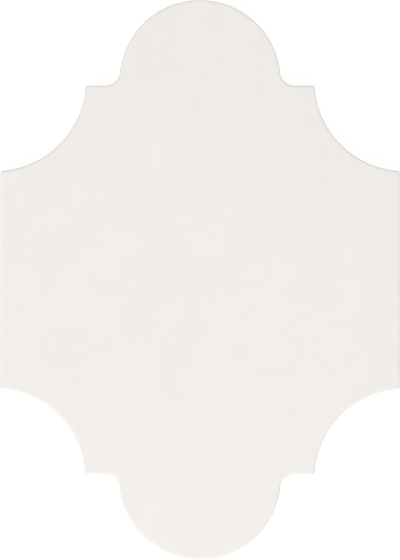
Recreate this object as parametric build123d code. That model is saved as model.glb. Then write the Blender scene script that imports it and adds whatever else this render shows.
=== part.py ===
from build123d import *
from math import ceil, sqrt
import os

# A lantern-shaped porcelain tile, pressed and fired as one piece. It lies on
# its back: the glazed face is up, +Y runs to one rounded end, and the origin
# is on the bedding plane, under the middle of the tile.

# Driving dimensions, in millimetres and degrees

# Outline, seen from above
tile_width = 203.4        # over the two straight sides
tile_length = 285.0       # over the two rounded ends
joint_width = 5.0         # grout joint that the outline is drawn for
shoulder_width = 17.2     # step between a rounded end and the bay beside it
neck_radius = 7.2         # hollow where a rounded end meets its shoulder
corner_radius = 1.2       # the eight outward corners

# Edge, seen in section
thickness = 9.0           # glazed face to bedding plane
face_arris_radius = 0.8   # round along the glazed face
band_height = 3.0         # upright band of the sides, from the face down
side_draft = 2.5          # lean of the sides below the band
back_chamfer = 0.6        # along the back

# Keyed back, which the adhesive grips
rim_width = 7.0           # plain margin round the back
pocket_pitch = 18.0       # rib centre to rib centre
rib_width = 4.0           # rib crest between two pockets
pocket_depth = 0.8
pocket_draft = 30.0       # lean of the pocket walls
pocket_corner_cut = 2.0   # 45 degree cut across each corner of a pocket
smallest_share = 0.25     # a pocket cut off to less than this is left out

# Tiles interlock: a rounded end nests in the bay that two neighbours make,
# with the same joint all round. A bay and a rounded end share the height of
# their centres, and a bay's radius is the end's plus the joint. Its centre is
# half a joint outside the straight side, and a shoulder is half a joint short
# of the centres' height.
bay_centre_x = (tile_width + joint_width) / 2
end_radius = (bay_centre_x - shoulder_width - joint_width) / 2
bay_radius = end_radius + joint_width
centre_y = tile_length / 2 - end_radius
shoulder_y = centre_y - joint_width / 2

# Where the outline's lines and arcs meet, before they are rounded
bay_reach = sqrt(bay_radius**2 - (joint_width / 2) ** 2)
neck_x = sqrt(end_radius**2 - (joint_width / 2) ** 2)
shoulder_x = bay_centre_x - bay_reach
side_corner_y = centre_y - bay_reach

# Two points closer than this are the same point.
same_point = 0.01


def corners_at(outline, x, y):
    """The outline's four vertices at plus or minus x and plus or minus y."""
    return [
        v
        for v in outline.vertices()
        if abs(abs(v.X) - x) < same_point and abs(abs(v.Y) - y) < same_point
    ]


def tile_outline():
    """The tile from above: a block, plus two rounded ends, less four bays."""
    block = Rectangle(tile_width, 2 * shoulder_y)
    ends = [Pos(0, y) * Circle(end_radius) for y in (-centre_y, centre_y)]
    bays = [
        Pos(x, y) * Circle(bay_radius)
        for x in (-bay_centre_x, bay_centre_x)
        for y in (-centre_y, centre_y)
    ]
    outline = block + ends - bays
    outline = fillet(corners_at(outline, neck_x, shoulder_y), neck_radius)
    shoulder_corners = corners_at(outline, shoulder_x, shoulder_y)
    side_corners = corners_at(outline, tile_width / 2, side_corner_y)
    return fillet(shoulder_corners + side_corners, corner_radius)


def tile_blank(outline):
    """The blank before it is keyed, on its back.

    It is drawn face down, as it lies in the press: an upright band along the
    face, and from there on sides that lean in.
    """
    band = extrude(outline, amount=band_height)
    seam = Plane.XY.offset(band_height)
    body = extrude(seam * outline, amount=thickness - band_height, taper=side_draft)
    blank = band + body
    face_edges = blank.faces().sort_by(Axis.Z)[0].edges()
    blank = fillet(face_edges, face_arris_radius)
    back_edges = blank.faces().sort_by(Axis.Z)[-1].edges()
    blank = chamfer(back_edges, back_chamfer)
    return Pos(0, 0, thickness) * Rot(180, 0, 0) * blank


def pocket_mouths(outline):
    """The pockets as flat shapes: a square grid, cut off at the plain rim.

    The counts are even, so that a rib crossing lies in the middle.
    """
    side = pocket_pitch - rib_width
    square = Rectangle(side, side)
    square = chamfer(square.vertices(), pocket_corner_cut)
    columns = 2 * ceil(tile_width / pocket_pitch / 2)
    rows = 2 * ceil(tile_length / pocket_pitch / 2)
    grid = Sketch(GridLocations(pocket_pitch, pocket_pitch, columns, rows) * square)
    inside_rim = offset(outline, amount=-rim_width)
    smallest = smallest_share * square.area
    return [mouth for mouth in (inside_rim & grid).faces() if mouth.area > smallest]


def build_tile():
    """The whole tile: the blank, with the pockets sunk into its back."""
    outline = tile_outline()
    pockets = [
        extrude(mouth, amount=pocket_depth, taper=pocket_draft)
        for mouth in pocket_mouths(outline)
    ]
    print(len(pockets), "pockets in the back")
    return tile_blank(outline) - pockets


tile = build_tile()
os.makedirs("parts", exist_ok=True)
export_step(tile, "parts/tile.step")
print("rounded ends, radius", round(end_radius, 2), "mm, bays", round(bay_radius, 2), "mm")
print("volume", round(tile.volume / 1000, 1), "cm3")
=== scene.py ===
# %% [markdown]
# # A lantern-shaped porcelain tile
#
# The real thing is one piece of porcelain, pressed from powder, glazed on its
# face and fired. Little happens on it, so its looks are in a true outline, in
# an edge that catches the light, and in a glaze that isn't quite even. The
# lesson draws the outline as with compass and ruler, gives it its edges and
# its keyed back, and then makes two finishes: the glaze and the bare fired
# body.
#
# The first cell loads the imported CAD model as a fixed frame, in metres. Every
# size that the frame can give is read from it.

# %% The frame
from math import acos, atan2, ceil, cos, pi, radians, sin, sqrt, tan

import bmesh
import bpy
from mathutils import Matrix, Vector


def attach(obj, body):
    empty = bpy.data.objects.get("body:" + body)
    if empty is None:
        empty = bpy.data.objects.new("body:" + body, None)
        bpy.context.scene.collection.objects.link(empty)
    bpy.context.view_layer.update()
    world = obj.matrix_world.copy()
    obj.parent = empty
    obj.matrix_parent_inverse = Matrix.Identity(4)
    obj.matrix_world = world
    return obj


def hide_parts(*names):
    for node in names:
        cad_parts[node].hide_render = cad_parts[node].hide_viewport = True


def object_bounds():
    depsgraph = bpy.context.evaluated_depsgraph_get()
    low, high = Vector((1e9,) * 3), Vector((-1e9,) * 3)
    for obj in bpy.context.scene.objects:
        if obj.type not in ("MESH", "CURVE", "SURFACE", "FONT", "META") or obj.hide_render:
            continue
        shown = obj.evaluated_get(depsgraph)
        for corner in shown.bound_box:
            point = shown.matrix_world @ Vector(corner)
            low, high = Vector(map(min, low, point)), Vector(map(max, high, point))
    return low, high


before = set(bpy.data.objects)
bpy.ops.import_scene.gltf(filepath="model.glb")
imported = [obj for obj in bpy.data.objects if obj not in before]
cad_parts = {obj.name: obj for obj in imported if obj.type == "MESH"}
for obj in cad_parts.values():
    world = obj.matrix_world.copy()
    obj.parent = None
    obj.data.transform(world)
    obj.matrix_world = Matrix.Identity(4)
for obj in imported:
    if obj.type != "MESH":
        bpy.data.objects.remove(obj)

MM = 0.001
cad_low, cad_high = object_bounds()
WIDTH, LENGTH, THICKNESS = (round(side / MM, 3) for side in cad_high - cad_low)
print("CAD box, mm:", WIDTH, LENGTH, THICKNESS)

# %% [markdown]
# ## The camera
#
# The picture is a straight look down on the tile, and it is cropped to the
# tile's own length. Its frame is 400 x 560 pixels, so one pixel is about half a
# millimetre on the glazed face. A camera sees its sensor's width, times the
# distance, over the focal length, which gives the camera's height. A long lens
# stands far off, so that every edge is seen from nearly straight above, as in
# the picture.

# %% The camera
IMAGE_SIZE = (400, 560)                # pixels, across and along the tile
PIXEL = LENGTH * MM / IMAGE_SIZE[1]    # on the glazed face
LENS = 100.0                           # mm
SENSOR = 36.0                          # mm, along the frame's long side

camera_height = cad_high.z + max(IMAGE_SIZE) * PIXEL * LENS / SENSOR
camera_data = bpy.data.cameras.new("camera")
camera_data.lens = LENS
camera_data.sensor_width = SENSOR
camera = bpy.data.objects.new("camera", camera_data)
camera.location = (0, 0, camera_height)
bpy.context.scene.collection.objects.link(camera)
bpy.context.scene.camera = camera
print("camera height, mm:", round(camera_height / MM, 1))

# %% [markdown]
# ## The outline's geometry
#
# Lantern tiles interlock. A rounded end nests in the bay that two neighbours
# make, with the same grout joint all round, so a bay's radius is the end's
# plus the joint, and all other places follow, as on a drawing board.
#
# The back needs the same outline once more, some millimetres further in. The
# ends, the hollows and the bays then keep their centres: an end's radius loses
# that inset, a hollow's or a bay's gains it. The small corners keep their
# radius, and their centres move. So a function that takes the inset works out
# the centres.

# %% The outline's sizes, in millimetres
JOINT = 5.0
SHOULDER = 17.2      # the step between a rounded end and a bay
NECK_RADIUS = 7.2    # the hollow beside a rounded end
CORNER_RADIUS = 1.2  # the outward corners

bay_x = (WIDTH + JOINT) / 2
end_radius = (bay_x - SHOULDER - JOINT) / 2
bay_radius = end_radius + JOINT
centre_y = LENGTH / 2 - end_radius
shoulder_y = centre_y - JOINT / 2
print("end radius", end_radius, "mm, bay radius", bay_radius, "mm")


def beside(radius, rise):
    """How far beside its centre a circle is, this much higher or lower than it."""
    return sqrt(radius**2 - rise**2)


def arc_centres(inset):
    """The centres of the quarter outline's five arcs, from the end to the side."""
    reach = bay_radius + inset + CORNER_RADIUS
    neck_y = shoulder_y + NECK_RADIUS
    neck_x = beside(end_radius + NECK_RADIUS, neck_y - centre_y)
    tip_y = shoulder_y - inset - CORNER_RADIUS
    tip_x = bay_x - beside(reach, centre_y - tip_y)
    flank_x = WIDTH / 2 - inset - CORNER_RADIUS
    flank_y = centre_y - beside(reach, bay_x - flank_x)
    places = [(0, centre_y), (neck_x, neck_y), (tip_x, tip_y), (bay_x, centre_y), (flank_x, flank_y)]
    return [Vector((x, y, 0)) for x, y in places]


# %% [markdown]
# ## Compass and ruler
#
# An outline could be a list of points, or a curve with handles that are set by
# eye. Here one vertex is the pencil's point. `spin` swings it round a centre,
# as a compass does, and leaves the arc behind it as edges. Extruding the
# vertex and moving it draws a straight line. Where two arcs meet they have the
# same tangent, because each swing ends where it faces the next centre.
#
# The number of steps comes from how far a chord may cut inside its arc: a
# hundredth of a millimetre or less can't be seen, whatever the radius.

# %% Compass and ruler
CHORD_ERROR = 0.006  # mm


def bearing(centre, point):
    """The direction from a centre to a point, as an angle from +X."""
    return atan2(point.y - centre.y, point.x - centre.x)


def steps_in(turn, radius):
    """How many chords an arc needs, so that none cuts too far inside it."""
    return ceil(abs(turn) / (2 * acos(1 - CHORD_ERROR / radius)))


def swing(bm, pencil, centre, towards):
    """Draws an arc round a centre until the pencil faces towards a point."""
    turn = bearing(centre, towards) - bearing(centre, pencil.co)
    turn = (turn + pi) % (2 * pi) - pi
    steps = steps_in(turn, (pencil.co - centre).length)
    made = bmesh.ops.spin(bm, geom=[pencil], cent=centre, axis=(0, 0, 1), angle=turn, steps=steps)
    return made["geom_last"][0]


def rule(bm, pencil, place):
    """Draws a straight line to a place."""
    drawn = bmesh.ops.extrude_vert_indiv(bm, verts=[pencil])["verts"][0]
    bmesh.ops.translate(bm, verts=[drawn], vec=Vector(place) - drawn.co)
    return drawn


print("half a turn: end", steps_in(pi, end_radius), "steps, corner", steps_in(pi, CORNER_RADIUS))

# %% [markdown]
# ## A quarter, mirrored twice
#
# All four quarters of the outline are alike, so one is drawn, from the top of
# a rounded end to the middle of a straight side. Mirrored across X and then
# across Y, it closes. Mirroring joins the points that meet, and a face fills
# the loop.

# %% The outline
SAME_POINT = 0.001  # mm


def draw_outline(bm, inset=0.0):
    """Draws a quarter of the outline, mirrors it twice and fills it with a face."""
    end, neck, tip, bay, flank = arc_centres(inset)
    down = Vector((0, -1, 0))
    right = Vector((1, 0, 0))
    pencil = bm.verts.new((0, centre_y + end_radius - inset, 0))
    pencil = swing(bm, pencil, end, neck)
    pencil = swing(bm, pencil, neck, neck + down)
    pencil = rule(bm, pencil, (tip.x, tip.y + CORNER_RADIUS, 0))
    pencil = swing(bm, pencil, tip, bay)
    pencil = swing(bm, pencil, bay, flank)
    pencil = swing(bm, pencil, flank, flank + right)
    rule(bm, pencil, (pencil.co.x, 0, 0))
    for axis in ("X", "Y"):
        everything = bm.verts[:] + bm.edges[:]
        bmesh.ops.mirror(bm, geom=everything, axis=axis, merge_dist=SAME_POINT)
    return bmesh.ops.contextual_create(bm, geom=bm.edges[:])["faces"][0]


blank = bmesh.new()
outline = draw_outline(blank)
print("outline:", len(outline.verts), "points round", round(outline.calc_area() / 100, 1), "cm2")

# %% [markdown]
# ## The edges
#
# The press leaves an upright band along the face, and under it sides that lean
# in, so that the tile comes out of the die. Where the two meet, the die's rim
# leaves a fine ledge all round. The powder is pressed less hard at the back,
# which ends in a small chamfer.
#
# The face isn't flat to its very edge. The molten glaze draws back from it, so
# the face falls by a tenth of a millimetre over the last two, which the picture
# shows as a soft shade just inside the thin grey line, and as a soft light on
# the lower side.
#
# A profile could be swept round the outline, but insets are simpler on a flat
# plate: each one makes the loop a little smaller and moves it down or up, with
# true even spacing on straights and arcs alike. The face's first inset is as
# wide as the small corners' radius and uses it up, so a corner's points come to
# lie together, and are merged to one. Merging makes the face anew, so it is
# found again as the highest. The arris along its rim is a bevel, because a
# bevel makes a round with as many steps as it is given.

# %% The blank
BAND = 3.0            # mm, upright band under the face
LEDGE = (0.10, 0.06)  # mm in, mm down
DRAFT = 2.5           # degrees
BACK_CHAMFER = 0.6    # mm
FACE_FALL = [(CORNER_RADIUS, 0.088), (0.45, 0.024), (0.45, 0.008)]  # mm in, mm up, from the edge
FALL = sum(up for _, up in FACE_FALL)
USED_UP = 0.1         # mm, a corner's points closer than this become one
ARRIS = 0.8           # mm, radius along the face
ARRIS_STEPS = 7


def step_in(bm, face, inward, out):
    """Makes a face's loop smaller and moves it out along the face's normal."""
    bmesh.ops.inset_region(bm, faces=[face], thickness=inward, depth=out, use_even_offset=True)


def press_blank(bm, outline):
    """Gives the outline its height and sides, in millimetres, and returns the face."""
    bmesh.ops.translate(bm, verts=bm.verts[:], vec=(0, 0, THICKNESS - BAND))
    pressed = bmesh.ops.extrude_face_region(bm, geom=[outline], use_keep_orig=True)["geom"]
    face = next(part for part in pressed if isinstance(part, bmesh.types.BMFace))
    bmesh.ops.translate(bm, verts=face.verts[:], vec=(0, 0, BAND - FALL))
    bmesh.ops.recalc_face_normals(bm, faces=bm.faces[:])
    side_height = THICKNESS - BAND - LEDGE[1] - BACK_CHAMFER
    step_in(bm, outline, *LEDGE)
    step_in(bm, outline, side_height * tan(radians(DRAFT)), side_height)
    step_in(bm, outline, BACK_CHAMFER, BACK_CHAMFER)
    return face


def shape_face(bm, face):
    """Gives the face its soft fall, and then its arris along the rim that it started from."""
    for inward, up in FACE_FALL:
        step_in(bm, face, inward, up)
        bmesh.ops.remove_doubles(bm, verts=face.verts[:], dist=USED_UP)
        face = max(bm.faces, key=lambda part: part.calc_center_median().z)
    rim_height = THICKNESS - FALL
    rim = [
        edge for edge in bm.edges
        if all(abs(v.co.z - rim_height) < SAME_POINT for v in edge.verts)
    ]
    bmesh.ops.bevel(
        bm, geom=rim, offset=ARRIS, segments=ARRIS_STEPS, profile=0.5,
        affect="EDGES", material=-1,
    )


shape_face(blank, press_blank(blank, outline))
print("blank:", len(blank.verts), "vertices, its face falls", round(FALL, 2), "mm to the edge")

# %% [markdown]
# ## The keyed back
#
# The back has square pockets with leaning walls, so that the adhesive grips
# it. They stop at a plain rim, and the outline cuts some of them off. Insets
# can't do that, since the rim's curve runs through the middle of a pocket. So
# the pockets are made as a cutter, for a Boolean.
#
# A pocket and the field inside the rim get the same wall, step by step: a
# round lip, the leaning wall, and a round foot. Both then meet neatly.

# %% The wall of a pocket
POCKET_WALL = [(0.20, 0.06), (0.14, 0.14), (0.20, 0.40), (0.10, 0.12), (0.16, 0.08)]  # mm in, mm up
CUTTER_BELOW = 1.0  # mm, under the back, so that the cut is clean


def raise_wall(bm, mouth):
    """Builds the pocket's wall up from its mouth, and a shaft down below it."""
    shaft = bmesh.ops.extrude_face_region(bm, geom=[mouth], use_keep_orig=True)["geom"]
    top = next(part for part in shaft if isinstance(part, bmesh.types.BMFace))
    bmesh.ops.translate(bm, verts=mouth.verts[:], vec=(0, 0, -CUTTER_BELOW))
    bmesh.ops.recalc_face_normals(bm, faces=bm.faces[:])
    for inward, up in POCKET_WALL:
        step_in(bm, top, inward, up)


print("pockets are", round(sum(up for _, up in POCKET_WALL), 2), "mm deep")

# %% [markdown]
# ## From bmesh to object
#
# So far all is in millimetres, in a bmesh. Modifiers work on objects, and the
# frame is in metres, so a finished bmesh is scaled down once and becomes an
# object. It stays at the origin, and its place is in its mesh. What the
# modifiers then make of it is read from the dependency graph, and becomes its
# plain mesh.

# %% Objects and their modifiers
def new_piece(name, bm):
    """Turns a bmesh in millimetres into an object in metres."""
    bmesh.ops.scale(bm, verts=bm.verts[:], vec=(MM, MM, MM))
    mesh = bpy.data.meshes.new(name)
    bm.to_mesh(mesh)
    bm.free()
    piece = bpy.data.objects.new(name, mesh)
    bpy.context.scene.collection.objects.link(piece)
    return piece


def modify(piece, kind, **settings):
    """Adds a modifier with its settings."""
    modifier = piece.modifiers.new(kind.lower(), kind)
    for name, value in settings.items():
        setattr(modifier, name, value)


def bake_modifiers(piece):
    """Gives a piece the mesh that its modifiers make, and removes them."""
    depsgraph = bpy.context.evaluated_depsgraph_get()
    mesh = bpy.data.meshes.new_from_object(piece.evaluated_get(depsgraph))
    piece.modifiers.clear()
    piece.data = mesh


print("a tile of", THICKNESS, "mm is", round(THICKNESS * MM, 3), "m thick")

# %% [markdown]
# ## All pockets in one cutter
#
# One pocket is modelled, a square with rounded corners, and two Array
# modifiers repeat it over the whole tile. The counts are even, so that a
# crossing of two ribs lies in the middle. The field is the outline, drawn once
# more and further in. What pockets and field have in common is the cutter.

# %% The cutter
RIM = 7.0             # mm, plain margin
POCKET_PITCH = 18.0   # mm
RIB = 4.0             # mm, crest between two pockets
POCKET_CORNER = 2.0   # mm
CORNER_STEPS = 4
LIP = 0.15            # mm, how much the lip widens the mouth


def pocket_cutter():
    """The pockets as shapes to cut with, over more than the whole back."""
    side = POCKET_PITCH - RIB + 2 * LIP
    columns = 2 * ceil(WIDTH / POCKET_PITCH / 2)
    rows = 2 * ceil(LENGTH / POCKET_PITCH / 2)
    bm = bmesh.new()
    bmesh.ops.create_grid(bm, x_segments=1, y_segments=1, size=side / 2)
    bmesh.ops.bevel(
        bm, geom=bm.verts[:], offset=POCKET_CORNER, segments=CORNER_STEPS, profile=0.5,
        affect="VERTICES", material=-1,
    )
    raise_wall(bm, bm.faces[:][0])
    first = Vector((1 - columns, 1 - rows, 0)) * POCKET_PITCH / 2
    bmesh.ops.translate(bm, verts=bm.verts[:], vec=first)
    cutter = new_piece("pocket_cutter", bm)
    across, along = (POCKET_PITCH * MM, 0, 0), (0, POCKET_PITCH * MM, 0)
    for count, step in ((columns, across), (rows, along)):
        modify(cutter, "ARRAY", count=count, use_relative_offset=False,
               use_constant_offset=True, constant_offset_displace=step)
    return cutter


def rim_field():
    """The field inside the plain rim, with the same wall as a pocket."""
    bm = bmesh.new()
    raise_wall(bm, draw_outline(bm, RIM - LIP))
    return new_piece("rim_field", bm)


cutter, field = pocket_cutter(), rim_field()
modify(cutter, "BOOLEAN", object=field, operation="INTERSECT", solver="MANIFOLD")
bake_modifiers(cutter)
print("cutter:", len(cutter.data.vertices), "vertices")

# %% [markdown]
# ## No slivers
#
# Where the rim takes most of a pocket away, a die maker leaves the rest of it
# out too, because the steel would be too thin there. A pocket's share is told
# by its area, seen from below. From that one face, its neighbours and theirs
# are collected until the whole pocket is found, and deleted.

# %% Slivers left out
SMALLEST_SHARE = 0.25  # a pocket cut off to less than this is left out
LOOKS_DOWN = -0.99     # a face's normal has less height than this, if it looks down


def island(face):
    """All the faces that hang together with this one."""
    found, front = {face}, [face]
    while front:
        beside_it = {other for edge in front.pop().edges for other in edge.link_faces}
        front += beside_it - found
        found |= beside_it
    return found


def drop_small_pockets(piece):
    """Deletes what the rim cut down to a sliver."""
    bm = bmesh.new()
    bm.from_mesh(piece.data)
    bottoms = [face for face in bm.faces if face.normal.z < LOOKS_DOWN]
    smallest = SMALLEST_SHARE * max(face.calc_area() for face in bottoms)
    slivers = [face for face in bottoms if face.calc_area() < smallest]
    small = set().union(*(island(face) for face in slivers))
    bmesh.ops.delete(bm, geom=list(small), context="FACES")
    bm.to_mesh(piece.data)
    bm.free()
    print(len(bottoms) - len(slivers), "pockets,", len(slivers), "slivers left out")


drop_small_pockets(cutter)

# %% [markdown]
# ## The pockets cut
#
# The Boolean takes the cutter out of the blank. The Manifold solver is quick
# and reliable on closed meshes like these. It leaves some points almost on top
# of each other, where two curves cross, and those are merged.

# %% The tile
FINEST = 0.02  # mm, points closer than this become one


def clean(piece):
    """Joins points that a Boolean left on top of each other."""
    bm = bmesh.new()
    bm.from_mesh(piece.data)
    bmesh.ops.remove_doubles(bm, verts=bm.verts[:], dist=FINEST * MM)
    bmesh.ops.dissolve_degenerate(bm, edges=bm.edges[:], dist=FINEST * MM)
    bmesh.ops.recalc_face_normals(bm, faces=bm.faces[:])
    bm.to_mesh(piece.data)
    bm.free()


tile = new_piece("lantern_tile", blank)
modify(tile, "BOOLEAN", object=cutter, operation="DIFFERENCE", solver="MANIFOLD")
bake_modifiers(tile)
clean(tile)
for spare in (cutter, field):
    bpy.data.objects.remove(spare)
print("tile:", len(tile.data.vertices), "vertices,", len(tile.data.polygons), "faces")

# %% [markdown]
# ## Where light sees an edge
#
# The mesh is made of flat facets. Smooth shading blends them, which is right on
# the arris, the arcs and the pockets' lips, and wrong at the ledge and the
# chamfer, where the real edges are crisp. An angle tells the two apart: the
# steps of a round turn by less than that, the crisp edges by more.
#
# The glazed face is one large flat facet next to small tilted ones. Blended
# equally, it would look pillowed, so Weighted Normal lets the largest facet
# decide at each point.

# %% Shading
CRISP = 32.0           # degrees
LARGEST_DECIDES = 100  # percent, the modifier's strongest weight

tile.data.shade_smooth()
tile.data.set_sharp_from_angle(angle=radians(CRISP))
modify(tile, "WEIGHTED_NORMAL", keep_sharp=True, weight=LARGEST_DECIDES)
bake_modifiers(tile)
print("crisp edges:", sum(edge.use_edge_sharp for edge in tile.data.edges))

# %% [markdown]
# ## Tools for the finishes
#
# Colours are easiest to judge as the sRGB values that a screen shows, so they
# are written as hex and turned to the linear values that light adds up in.
# Patterns are measured on the real thing: a texture of scale 1 has features of
# about one metre here, so its scale is one over a feature's size in metres.
#
# A material is a tree of nodes. One function adds any node: its kind, inputs
# and settings say the rest. Another lays colours over each other, as a painter
# does, each by a share that a pattern gives.

# %% Colour, scale and nodes
def linear(colour):
    """An sRGB hex colour as linear red, green, blue and alpha."""
    shown = [int(colour[place:place + 2], 16) / 255 for place in (1, 3, 5)]
    return [c / 12.92 if c <= 0.04045 else ((c + 0.055) / 1.055) ** 2.4 for c in shown] + [1.0]


def scale_of(size):
    """The texture scale that gives features of this size, in millimetres."""
    return 1 / (size * MM)


def add(tree, kind, inputs=(), take=None, **settings):
    """Adds a node with its settings, and returns an output: the named or the first.

    Inputs go by name, or in order. One that is an output itself is linked.
    """
    node = tree.nodes.new("ShaderNode" + kind)
    for name, value in settings.items():
        setattr(node, name, value)
    sockets = [socket for socket in node.inputs if socket.enabled]
    if isinstance(inputs, dict):
        named = {socket.name: socket for socket in sockets}
        pairs = [(named[name], value) for name, value in inputs.items()]
    else:
        pairs = zip(sockets, inputs)
    for socket, value in pairs:
        if isinstance(value, bpy.types.NodeSocket):
            tree.links.new(value, socket)
        else:
            socket.default_value = value
    outputs = [socket for socket in node.outputs if socket.enabled and take in (None, socket.name)]
    return outputs[0] if outputs else None


def coats(tree, ground, *layers):
    """A colour with others laid over it, each by its own share."""
    colour = linear(ground)
    for share, over in layers:
        mix = {"Factor": share, "A": colour, "B": linear(over)}
        colour = add(tree, "Mix", mix, data_type="RGBA")
    return colour


def new_material(name):
    """An empty material and its node tree."""
    material = bpy.data.materials.new(name)
    material.use_nodes = True
    material.node_tree.nodes.clear()
    return material, material.node_tree


print("the screen's middle grey is", round(linear("#808080")[0], 2), "of white's light")

# %% [markdown]
# ## Noise and dots
#
# Nearly every pattern on a fired thing is a noise of some size. A plain one
# has features of about that size, and a rich one has finer and finer detail on
# top. A noise can give any value from nothing to one, but hardly ever leaves
# the middle of that, so a range is taken from there, and stretched.
#
# Grains, specks and pinholes are all scattered dots. A Voronoi texture gives
# each cell one point and one random colour: the distance to the point draws a
# soft dot, and the colour decides how strong that dot is. A high power of it
# leaves most dots faint and only a few strong, as they are in clay and glaze.

# %% Noise and dots
PLAIN = {"Detail": 2.0, "Roughness": 0.5}   # octaves, and each one's strength to the one before
RICH = {"Detail": 4.0, "Roughness": 0.65}
MIDDLE = {"From Min": 0.3, "From Max": 0.7}  # nearly all of a noise lies in this range
DOT_CORE = 0.2  # of a dot's radius, within which it has its full strength


def dots(tree, place, gap, size, rareness, dimensions="3D"):
    """Soft round dots of this size, in millimetres, with this gap between them."""
    spread = {"Vector": place, "Scale": scale_of(gap)}
    cells = add(tree, "TexVoronoi", spread, voronoi_dimensions=dimensions)
    radius = size / 2 / gap
    dot = add(tree, "MapRange", {
        "Value": cells, "From Min": radius, "From Max": DOT_CORE * radius,
    }, interpolation_type="SMOOTHSTEP")
    chance = add(tree, "SeparateColor", [cells.node.outputs["Color"]])
    strength = add(tree, "Math", [chance, rareness], operation="POWER")
    return add(tree, "Math", [dot, strength], operation="MULTIPLY")


print("a dot fades out over", round((1 - DOT_CORE) * 100), "% of its radius")

# %% [markdown]
# ## The kiln wash
#
# On the back's rim and ribs lies a thin white powdery wash, which keeps the
# tile from sticking to the kiln's rollers. It is in streaks along the way that
# the tile went, and never reaches into the pockets.
#
# It could be painted by hand, as a map on the back. But all that matters is
# where a point is on the tile: a noise makes the streaks, and the height says
# what touched the rollers. So Object coordinates are enough, and no
# unwrapping is needed. A Mapping node squeezes the coordinates along one axis,
# which draws the noise out into streaks.

# %% The kiln wash
KILN_WASH = "#EFECE6"
WASH_FADE = (0.10, 0.03)     # mm above the bedding plane, where it ends and where it is whole
WASH_STREAK = 9.0            # mm, across
WASH_LENGTHENED = 8          # times
WASH_PATCHES = (0.44, 0.60)  # the noise where the wash begins, and where it is thickest
WASH_COVER = 0.85            # of the body's colour that it hides


def kiln_wash(tree, place, height_above):
    """How much wash covers the body: streaks, on nothing but the lowest skin."""
    along = add(tree, "Mapping", {"Vector": place, "Scale": (1, 1 / WASH_LENGTHENED, 1)})
    streaks = add(tree, "TexNoise", {"Vector": along, "Scale": scale_of(WASH_STREAK), **RICH})
    streaks = add(tree, "MapRange", {
        "Value": streaks, "From Min": WASH_PATCHES[0], "From Max": WASH_PATCHES[1],
        "To Max": WASH_COVER,
    })
    lowest = add(tree, "MapRange", {
        "Value": height_above, "From Min": WASH_FADE[0] * MM, "From Max": WASH_FADE[1] * MM,
    })
    return add(tree, "Math", [streaks, lowest], operation="MULTIPLY")


print("wash streaks, mm:", WASH_STREAK, "by", WASH_STREAK * WASH_LENGTHENED)

# %% [markdown]
# ## The fired body
#
# Porcelain powder is spray-dried into granules of a few tenths of a
# millimetre, pressed, and fired to a dense off-white stone. Unglazed, it shows
# on the sides and on the back: matt, faintly granular, with a few dark grains.
# The die leaves fine upright marks on the sides, because the tile is pushed
# out of it along them.
#
# The granules are drawn twice as large as the real ones, or they would be finer
# than a pixel from where one looks. Their noise gives the colour, the roughness
# and the relief together, since all three come from the same granules.

# %% The fired body
BODY = "#CBC4B7"
BODY_PALE = "#D9D3C8"
BODY_GRAIN = "#978D7E"
BODY_ROUGHNESS = (0.72, 0.92)
GRANULE = 0.8              # mm
GRANULE_RELIEF = 0.03      # mm
BODY_CLOUD = 10.0          # mm
BODY_TONES = (0.75, 1.25)  # the sum of two noises where the body is darkest and palest
GRAIN_GAP = 4.0            # mm, from one dark grain to the next
GRAIN_SIZE = 0.7           # mm
GRAIN_RARENESS = 3.0
DIE_MARK = 0.7             # mm, across an upright mark
DIE_MARK_LENGTHENED = 25   # times
DIE_MARK_RELIEF = 0.025    # mm


def body_colour(tree, place, granules, wash):
    """The body's colour: granules and clouds, dark grains, and the wash on top."""
    clouds = add(tree, "TexNoise", {"Vector": place, "Scale": scale_of(BODY_CLOUD), **PLAIN})
    tone = add(tree, "Math", [granules, clouds], operation="ADD")
    tone = add(tree, "MapRange", {
        "Value": tone, "From Min": BODY_TONES[0], "From Max": BODY_TONES[1],
    })
    grains = dots(tree, place, GRAIN_GAP, GRAIN_SIZE, GRAIN_RARENESS)
    return coats(tree, BODY, (tone, BODY_PALE), (grains, BODY_GRAIN), (wash, KILN_WASH))


def fired_body(tree, place, height_above):
    """Colour, roughness and height in millimetres of the unglazed body."""
    granules = add(tree, "TexNoise", {"Vector": place, "Scale": scale_of(GRANULE), **PLAIN})
    colour = body_colour(tree, place, granules, kiln_wash(tree, place, height_above))
    low, high = BODY_ROUGHNESS
    roughness = add(tree, "MapRange", {"Value": granules, "To Min": low, "To Max": high})
    upright = add(tree, "Mapping", {"Vector": place, "Scale": (1, 1, 1 / DIE_MARK_LENGTHENED)})
    marks = add(tree, "TexNoise", {"Vector": upright, "Scale": scale_of(DIE_MARK), **PLAIN})
    relief = add(tree, "Math", [granules, GRANULE_RELIEF], operation="MULTIPLY")
    relief = add(tree, "Math", [marks, DIE_MARK_RELIEF, relief], operation="MULTIPLY_ADD")
    return colour, roughness, relief


print("granules of", GRANULE, "mm need a texture scale of", scale_of(GRANULE))

# %% [markdown]
# ## Where the glaze lies
#
# A matt white glaze is sprayed on the face and melts in the kiln. The spray
# also reaches the top of the sides, and ends there in a ragged line that
# follows nothing. A material of its own for the glaze would need an edge in
# the mesh along that line. Instead, a mask says how much of a point is glazed:
# it is made of the height, shifted up and down by some noise.
#
# Over the arris the glaze is thinner, unevenly, and lets a little of the body
# through. Its colour there is also painted darker than thin glaze alone would
# be. That is painted shade, which deepens the thin grey line along the edge.
# That is a second mask, made of the height in the same way.

# %% The glaze line, and the thin arris with painted shade
GLAZE_LINE = 7.1          # mm above the bedding plane
LINE_WAVE = 14.0          # mm
LINE_SWING = 0.5          # mm, up and down
LINE_SOFTNESS = 0.15      # mm
THIN_AND_SHADE_FADE = (0.08, 0.22)  # mm under the face, where thinning and painted shade begin and where they are full
THIN_SPOT = 3.0           # mm
THIN_SHARE = 0.7          # of the thinning and its painted shade, where they are least


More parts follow.
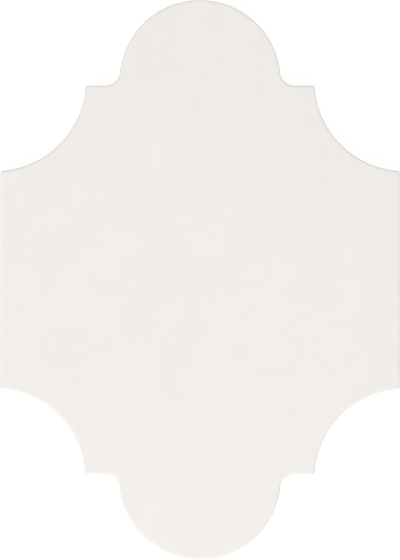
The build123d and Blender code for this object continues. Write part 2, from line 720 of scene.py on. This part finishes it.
def glaze_mask(tree, place, height_above):
    """One where the glaze lies, and nothing on the bare body."""
    wave = add(tree, "TexNoise", {"Vector": place, "Scale": scale_of(LINE_WAVE), **RICH})
    shift = add(tree, "MapRange", {
        "Value": wave, **MIDDLE, "To Min": -LINE_SWING * MM, "To Max": LINE_SWING * MM,
    })
    wavy_height = add(tree, "Math", [height_above, shift], operation="ADD")
    return add(tree, "MapRange", {
        "Value": wavy_height,
        "From Min": (GLAZE_LINE - LINE_SOFTNESS) * MM,
        "From Max": (GLAZE_LINE + LINE_SOFTNESS) * MM,
    }, interpolation_type="SMOOTHSTEP")


def thinning_and_shade(tree, place, height_above):
    """The edge, nothing on the face and one on the sides, and how far the glaze thins and is painted
    darker as shade.
    """
    begins, full = THIN_AND_SHADE_FADE
    edge = add(tree, "MapRange", {
        "Value": height_above,
        "From Min": (THICKNESS - begins) * MM, "From Max": (THICKNESS - full) * MM,
    })
    spots = add(tree, "TexNoise", {"Vector": place, "Scale": scale_of(THIN_SPOT), **PLAIN})
    spots = add(tree, "MapRange", {"Value": spots, **MIDDLE, "To Min": THIN_SHARE})
    return edge, add(tree, "Math", [edge, spots], operation="MULTIPLY")


print("the glaze ends about", round(THICKNESS - GLAZE_LINE, 1), "mm under the face")

# %% [markdown]
# ## The glaze
#
# It is a warm white that isn't quite even: pale clouds from a few millimetres
# to a few centimetres wide, and here and there a soft speck, where a darker
# grain of the body lies just under it. Rarer still is a pinhole, left by a
# bubble that burst. The skin is smooth but not flat, like an eggshell, which
# spreads a reflection wide.
#
# Pinholes are so small and so far apart that the face, as a slice through
# Voronoi cells in space, would hardly meet one. Their cells are flat ones
# instead, which lie in the face, and the height keeps them off the sides.

# %% The glaze
GLAZE = "#EDE9E4"
GLAZE_CLOUD = "#E9E5E1"
# thin glaze over the arris and the sides, painted darker than that alone as painted shade along the
# edge
THIN_GLAZE_AND_SHADE = "#D7D4CF"
SPECK = "#E5E1DD"
PINHOLE = "#D9D5D1"
GLAZE_ROUGHNESS = (0.46, 0.40)
GLAZE_THICKNESS = 0.07   # mm
CLOUD = 24.0             # mm, the widest
CLOUD_FINENESS = 0.85    # strength of each finer octave to the one before
SPECK_GAP = 6.0          # mm, from one speck to the next
SPECK_SIZE = 2.4         # mm
SPECK_RARENESS = 3.0
PINHOLE_GAP = 40.0       # mm
PINHOLE_SIZE = 1.2       # mm
PINHOLE_RARENESS = 2.0
PINHOLE_DEPTH = 0.05     # mm
EGGSHELL = 1.6           # mm
EGGSHELL_RELIEF = 0.010  # mm


def pinholes_in(tree, place, edge):
    """Flat cells of pinholes, kept off the sides."""
    holes = dots(tree, place, PINHOLE_GAP, PINHOLE_SIZE, PINHOLE_RARENESS, dimensions="2D")
    face = add(tree, "Math", [1.0, edge], operation="SUBTRACT")
    return add(tree, "Math", [holes, face], operation="MULTIPLY")


def glaze(tree, place, height_above):
    """Colour, roughness and height in millimetres of the glaze."""
    clouds = add(tree, "TexNoise", {
        "Vector": place, "Scale": scale_of(CLOUD), **RICH, "Roughness": CLOUD_FINENESS,
    })
    clouds = add(tree, "MapRange", {"Value": clouds, **MIDDLE})
    specks = dots(tree, place, SPECK_GAP, SPECK_SIZE, SPECK_RARENESS)
    edge, thin_and_shade = thinning_and_shade(tree, place, height_above)
    pinholes = pinholes_in(tree, place, edge)
    # the last layer is the thin glaze, with painted shade on the arris and the sides
    layers = (clouds, GLAZE), (specks, SPECK), (pinholes, PINHOLE), (thin_and_shade, THIN_GLAZE_AND_SHADE)
    colour = coats(tree, GLAZE_CLOUD, *layers)
    low, high = GLAZE_ROUGHNESS
    roughness = add(tree, "MapRange", {"Value": clouds, "To Min": low, "To Max": high})
    skin = add(tree, "TexNoise", {"Vector": place, "Scale": scale_of(EGGSHELL), **PLAIN})
    relief = add(tree, "Math", [skin, EGGSHELL_RELIEF, GLAZE_THICKNESS], operation="MULTIPLY_ADD")
    relief = add(tree, "Math", [pinholes, -PINHOLE_DEPTH, relief], operation="MULTIPLY_ADD")
    return colour, roughness, relief


print("mm from one to the next: specks", SPECK_GAP, "and pinholes", PINHOLE_GAP)

# %% [markdown]
# ## Body and glaze in one material
#
# The mask mixes the two finishes, in colour, roughness and relief. Mixing the
# reliefs makes a small step along the glaze line, as high as the glaze is
# thick. The relief goes through one Bump node, in millimetres. A glaze is a
# glass, and fired porcelain is about half glass too, so both have the IOR of
# glass, and their roughness makes the one satin and the other matt.

# %% Matt glaze on porcelain
GLASSY_IOR = 1.5


def matt_glaze_on_porcelain():
    """The tile's only material."""
    material, tree = new_material("matt_glaze_on_porcelain")
    place = add(tree, "TexCoord", take="Object")
    height_above = add(tree, "SeparateXYZ", [place], take="Z")
    mask = glaze_mask(tree, place, height_above)
    bare, bare_roughness, bare_relief = fired_body(tree, place, height_above)
    glazed, glazed_roughness, glazed_relief = glaze(tree, place, height_above)
    colour = add(tree, "Mix", {"Factor": mask, "A": bare, "B": glazed}, data_type="RGBA")
    roughness = add(tree, "Mix", {"Factor": mask, "A": bare_roughness, "B": glazed_roughness})
    relief = add(tree, "Mix", {"Factor": mask, "A": bare_relief, "B": glazed_relief})
    normal = add(tree, "Bump", {"Height": relief, "Distance": MM})
    surface = add(tree, "BsdfPrincipled", {
        "Base Color": colour, "Roughness": roughness, "Normal": normal, "IOR": GLASSY_IOR,
    })
    add(tree, "OutputMaterial", {"Surface": surface})
    return material


tile.data.materials.clear()
tile.data.materials.append(matt_glaze_on_porcelain())
print("finish:", tile.data.materials[0].name)

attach(tile, "root")
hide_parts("tile")

# %% [markdown]
# ## The floor
#
# The tile is white and so is everything round it, so only small differences
# show its form. The floor could be white board under a strong light, but then
# it bleaches the tile's edges. A light table is gentler: its opal glows by
# itself and reflects little, so it is just white, and the shadows on it stay
# faint. It lies a hair lower than the tile, so that no two faces share a plane.

# %% The light table
OPAL = "#767676"
OPAL_ROUGHNESS = 0.9
TABLE_GLOW = 0.86
TABLE_WHITE = "#FFFFFF"
TABLE_RADIUS = 20.0      # m, so wide that no view shows its rim
TABLE_SIDES = 64
TABLE_DROP = 0.02        # mm


def light_table():
    """The floor: a round sheet of opal glass that glows."""
    bm = bmesh.new()
    bmesh.ops.create_circle(bm, cap_ends=True, segments=TABLE_SIDES, radius=TABLE_RADIUS / MM)
    bmesh.ops.translate(bm, verts=bm.verts[:], vec=(0, 0, -TABLE_DROP))
    floor = new_piece("light_table", bm)
    material, tree = new_material("white_light_table")
    surface = add(tree, "BsdfPrincipled", {
        "Base Color": linear(OPAL), "Roughness": OPAL_ROUGHNESS,
        "Emission Color": linear(TABLE_WHITE), "Emission Strength": TABLE_GLOW,
    })
    add(tree, "OutputMaterial", {"Surface": surface})
    material.cycles.emission_sampling = "NONE"  # light finds a floor this wide by chance
    floor.data.materials.append(material)
    return floor


floor = light_table()
print("light table, m across:", round(floor.dimensions.x, 1))

# %% [markdown]
# ## The light
#
# The picture tells where the light stands: the edges along the top and the
# upper right are a thin grey line, and the face gets a little darker towards
# them. So one large soft lamp stands beyond the tile's lower end, a little to
# the left. The room round it is bright on all sides, and brightest near the
# horizon, as walls are that have windows.
#
# The picture shows plain sRGB values, so the view transform is Standard, which
# leaves colours as they are.

# %% The lamp and the room
LAMP_DISTANCE = 5.5      # m
LAMP_BEARING = 252.0     # degrees, from +X
LAMP_RISE = 46.0         # degrees
LAMP_SIZE = 2.0          # m
LAMP_POWER = 150.0       # W
LAMP_WHITE = "#FFFAF4"
ROOM_WHITE = "#F9FBFF"
ROOM = 0.71              # overhead
ROOM_LOW = 1.1           # near the horizon
ROOM_TURNS = (0.1, 0.5)  # the direction's height where the one ends and where the other begins


def lamp():
    """A round softbox that faces the tile."""
    turn, rise = radians(LAMP_BEARING), radians(LAMP_RISE)
    towards = Vector((cos(turn) * cos(rise), sin(turn) * cos(rise), sin(rise)))
    data = bpy.data.lights.new("softbox", "AREA")
    data.shape = "DISK"
    data.size = LAMP_SIZE
    data.energy = LAMP_POWER
    data.color = linear(LAMP_WHITE)[:3]
    softbox = bpy.data.objects.new("softbox", data)
    softbox.location = towards * LAMP_DISTANCE
    softbox.rotation_euler = towards.to_track_quat("Z", "Y").to_euler()
    softbox.visible_camera = False
    bpy.context.scene.collection.objects.link(softbox)
    print("softbox at, m:", [round(c, 2) for c in softbox.location])


def room():
    """White walls all round, which light the tile from everywhere."""
    world = bpy.data.worlds.new("room")
    world.use_nodes = True
    tree = world.node_tree
    tree.nodes.clear()
    direction = add(tree, "TexCoord", take="Generated")
    rise = add(tree, "SeparateXYZ", [direction], take="Z")
    strength = add(tree, "MapRange", {
        "Value": rise, "From Min": ROOM_TURNS[0], "From Max": ROOM_TURNS[1],
        "To Min": ROOM_LOW, "To Max": ROOM,
    })
    light = add(tree, "Background", {"Color": linear(ROOM_WHITE), "Strength": strength})
    add(tree, "OutputWorld", {"Surface": light})
    bpy.context.scene.world = world


lamp()
room()
bpy.context.scene.view_settings.view_transform = "Standard"
